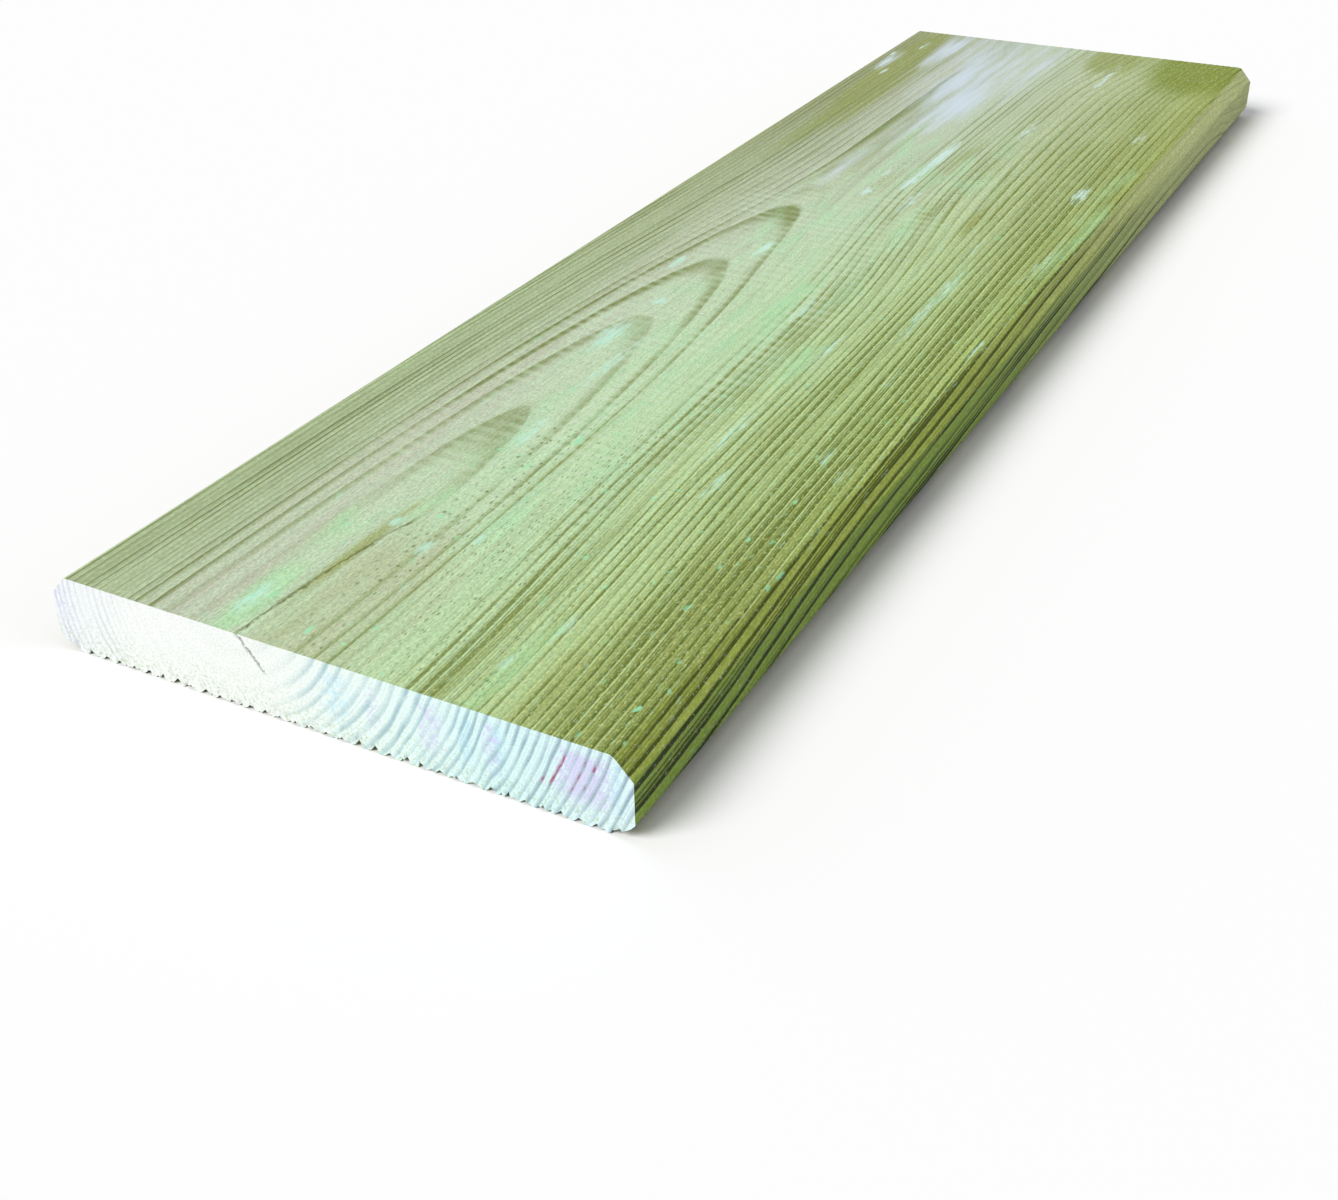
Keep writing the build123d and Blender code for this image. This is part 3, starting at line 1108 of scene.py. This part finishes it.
board.data.set_sharp_from_angle(angle=math.radians(SHARP_ANGLE))
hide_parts("deck_board")
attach(board, "root")

# Torn fibres
# Slivers of the board's own pine that the moulding knives tore up and left
# hanging along the flanks of the ribs, most of them near the sawn ends.
TORN_FIBRES = 320
FIBRE_LENGTH = 3.4 * MM
FIBRE_RADIUS = 0.13 * MM
FIBRE_DROP = 0.26 * MM
FIBRE_SPLAY = 16.0
FIBRE_SMALLEST = 0.4
FIBRE_ROOT_SPREAD = 0.65 * MM
FIBRE_ROOT_UP = 0.62 * MM
FIBRE_SEED = 11


# Bare pine fibre, torn and dry: straw-coloured and matt, with some green left in it.
def bare_pine_fibre():
    material, tree = blank_material("pine_fibre_torn")
    coords = add(tree, "ShaderNodeTexCoord").outputs["Object"]
    tint = stretched_noise(tree, millimetres(tree, coords), 6.0, 3.0, detail=1.0, seed=43.0)
    straw = add(
        tree,
        "ShaderNodeMix",
        {0: product(tree, (tint, 0.35, 0.65)), 6: linear("#B4BE6E"), 7: linear("#DDE0B8")},
        data_type="RGBA",
    )
    shader = add(
        tree,
        "ShaderNodeBsdfPrincipled",
        {"Base Color": straw, "Roughness": 0.85, "Specular IOR Level": 0.3},
    )
    add(tree, "ShaderNodeOutputMaterial", {0: shader})
    return material


def fibre_tree(sizes, torn):
    """Curled slivers strewn along the flanks of the ribs, thicker and fewer than the real ones."""
    tree, size = new_tree("torn_fibres", sizes)
    seeds = iter(range(FIBRE_SEED, FIBRE_SEED + 10))

    def chance(lowest, highest, kind="FLOAT"):
        """A random number for each sliver, from the next seed."""
        slots = {"FLOAT": (2, 3), "INT": (4, 5)}[kind]
        inputs = {slots[0]: lowest, slots[1]: highest, "Seed": next(seeds)}
        return add(tree, "FunctionNodeRandomValue", inputs, data_type=kind)

    spike = add(
        tree,
        "GeometryNodeMeshCone",
        {
            "Vertices": 5,
            "Side Segments": 4,
            "Radius Top": 0.0,
            "Radius Bottom": size["Radius"],
            "Depth": size["Length"],
        },
    )
    position = add(tree, "GeometryNodeInputPosition")
    x, y, z = add(tree, "ShaderNodeSeparateXYZ", {0: position}).outputs
    share = add(tree, "ShaderNodeMath", {0: z, 1: size["Length"]}, operation="DIVIDE")
    drop = product(tree, share, share, size["Drop"])
    down = add(tree, "ShaderNodeMath", {0: y, 1: drop}, operation="SUBTRACT")
    laid = add(tree, "ShaderNodeCombineXYZ", {0: z, 1: x, 2: down})
    sliver = add(tree, "GeometryNodeSetPosition", {"Geometry": spike.outputs[0], "Position": laid})

    points = add(tree, "GeometryNodeMeshLine", {"Count": size["Count"], "Offset": (0, 0, 0)})
    turn = chance(-math.pi / 2, math.pi / 2)
    crowded = add(tree, "ShaderNodeMath", {0: turn}, operation="SINE")
    along = product(tree, crowded, size["Reach Along"])
    outermost = round(reeded_half_width / RIB_PITCH)
    groove = product(tree, chance(-outermost, outermost, "INT"), size["Rib Pitch"])
    flank = add(
        tree,
        "ShaderNodeMath",
        {0: chance(-1.0, 1.0), 1: size["Root Spread"], 2: groove},
        operation="MULTIPLY_ADD",
    )
    place = add(tree, "ShaderNodeCombineXYZ", {0: along, 1: flank, 2: size["Root Up"]})
    roots = add(tree, "GeometryNodeSetPosition", {"Geometry": points, "Position": place})
    half_turns = product(tree, chance(0, 1, "INT"), math.pi)
    splay = chance(-math.radians(FIBRE_SPLAY), math.radians(FIBRE_SPLAY))
    heading = add(tree, "ShaderNodeMath", {0: half_turns, 1: splay})
    turned = add(tree, "ShaderNodeCombineXYZ", {2: heading})
    grown_size = chance(FIBRE_SMALLEST, 1.0)
    strewn = add(
        tree,
        "GeometryNodeInstanceOnPoints",
        {"Points": roots, "Instance": sliver, "Rotation": turned, "Scale": grown_size},
    )
    strewn = add(tree, "GeometryNodeRealizeInstances", {0: strewn})
    strewn = add(tree, "GeometryNodeSetMaterial", {"Geometry": strewn, "Material": torn})
    add(tree, "NodeGroupOutput", {0: strewn})
    return tree


fibre_sizes = {
    "Count": TORN_FIBRES,
    "Length": FIBRE_LENGTH,
    "Radius": FIBRE_RADIUS,
    "Drop": FIBRE_DROP,
    "Reach Along": LENGTH / 2 - FIBRE_LENGTH,
    "Rib Pitch": RIB_PITCH,
    "Root Spread": FIBRE_ROOT_SPREAD,
    "Root Up": FIBRE_ROOT_UP,
}
fibres = grown("torn_fibres", fibre_tree(fibre_sizes, bare_pine_fibre()), fibre_sizes)
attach(fibres, "root")

# The stage
# A plain pale floor in an even white room, with one broad soft lamp behind the
# camera's left shoulder, and the camera where the photographer stood.
FLOOR_REACH = 6.0
FLOOR_LIGHTING, FLOOR_SEEN = "#C8CAC6", "#FDFDFD"
LAMP_POWER = 2.72
LAMP_BREADTH = 35
LAMP_TURN = (-20, -44, 0)
ROOM_LIGHTING, ROOM_SEEN = 0.42, 1.0
PHOTO_WIDTH = 1338
FOCAL_PIXELS = 1721.4
SENSOR = 36.0
CAMERA_PLACE = (-0.46317, -0.19845, 0.21118)
CAMERA_TURN = (57.527, 0.927, -61.647)

corners = ((-1, -1), (1, -1), (1, 1), (-1, 1))
floor_mesh = bpy.data.meshes.new("floor")
floor_mesh.from_pydata(
    [(sx * FLOOR_REACH, sy * FLOOR_REACH, 0) for sx, sy in corners], [], [(0, 1, 2, 3)]
)
floor = bpy.data.objects.new("floor", floor_mesh)
bpy.context.collection.objects.link(floor)


# Matt white paint, rolled on, which the camera sees paler than it lights the board
def painted_floor():
    material, tree = blank_material("matt_white_paint")
    path = add(tree, "ShaderNodeLightPath")
    colour = add(
        tree,
        "ShaderNodeMix",
        {0: path.outputs["Is Camera Ray"], 6: linear(FLOOR_LIGHTING), 7: linear(FLOOR_SEEN)},
        data_type="RGBA",
    )
    shader = add(tree, "ShaderNodeBsdfDiffuse", {0: colour})
    add(tree, "ShaderNodeOutputMaterial", {0: shader})
    return material


floor.data.materials.append(painted_floor())

sun_data = bpy.data.lights.new("softbox", "SUN")
sun_data.energy = LAMP_POWER
sun_data.angle = math.radians(LAMP_BREADTH)
sun = bpy.data.objects.new("softbox", sun_data)
sun.rotation_euler = [math.radians(turn) for turn in LAMP_TURN]
bpy.context.collection.objects.link(sun)

world = bpy.data.worlds.new("white_room")
world.use_nodes = True
tree = world.node_tree
tree.nodes.clear()
path = add(tree, "ShaderNodeLightPath")
strength = add(
    tree,
    "ShaderNodeMix",
    {0: path.outputs["Is Camera Ray"], 2: ROOM_LIGHTING, 3: ROOM_SEEN},
    data_type="FLOAT",
)
background = add(tree, "ShaderNodeBackground", {0: (1.0, 1.0, 1.0, 1.0), 1: strength})
add(tree, "ShaderNodeOutputWorld", {0: background})
bpy.context.scene.world = world

camera_data = bpy.data.cameras.new("camera")
camera_data.sensor_width = SENSOR
camera_data.lens = FOCAL_PIXELS * SENSOR / PHOTO_WIDTH
camera = bpy.data.objects.new("camera", camera_data)
camera.location = CAMERA_PLACE
camera.rotation_euler = [math.radians(turn) for turn in CAMERA_TURN]
bpy.context.collection.objects.link(camera)
bpy.context.scene.camera = camera
bpy.context.scene.view_settings.view_transform = "Standard"
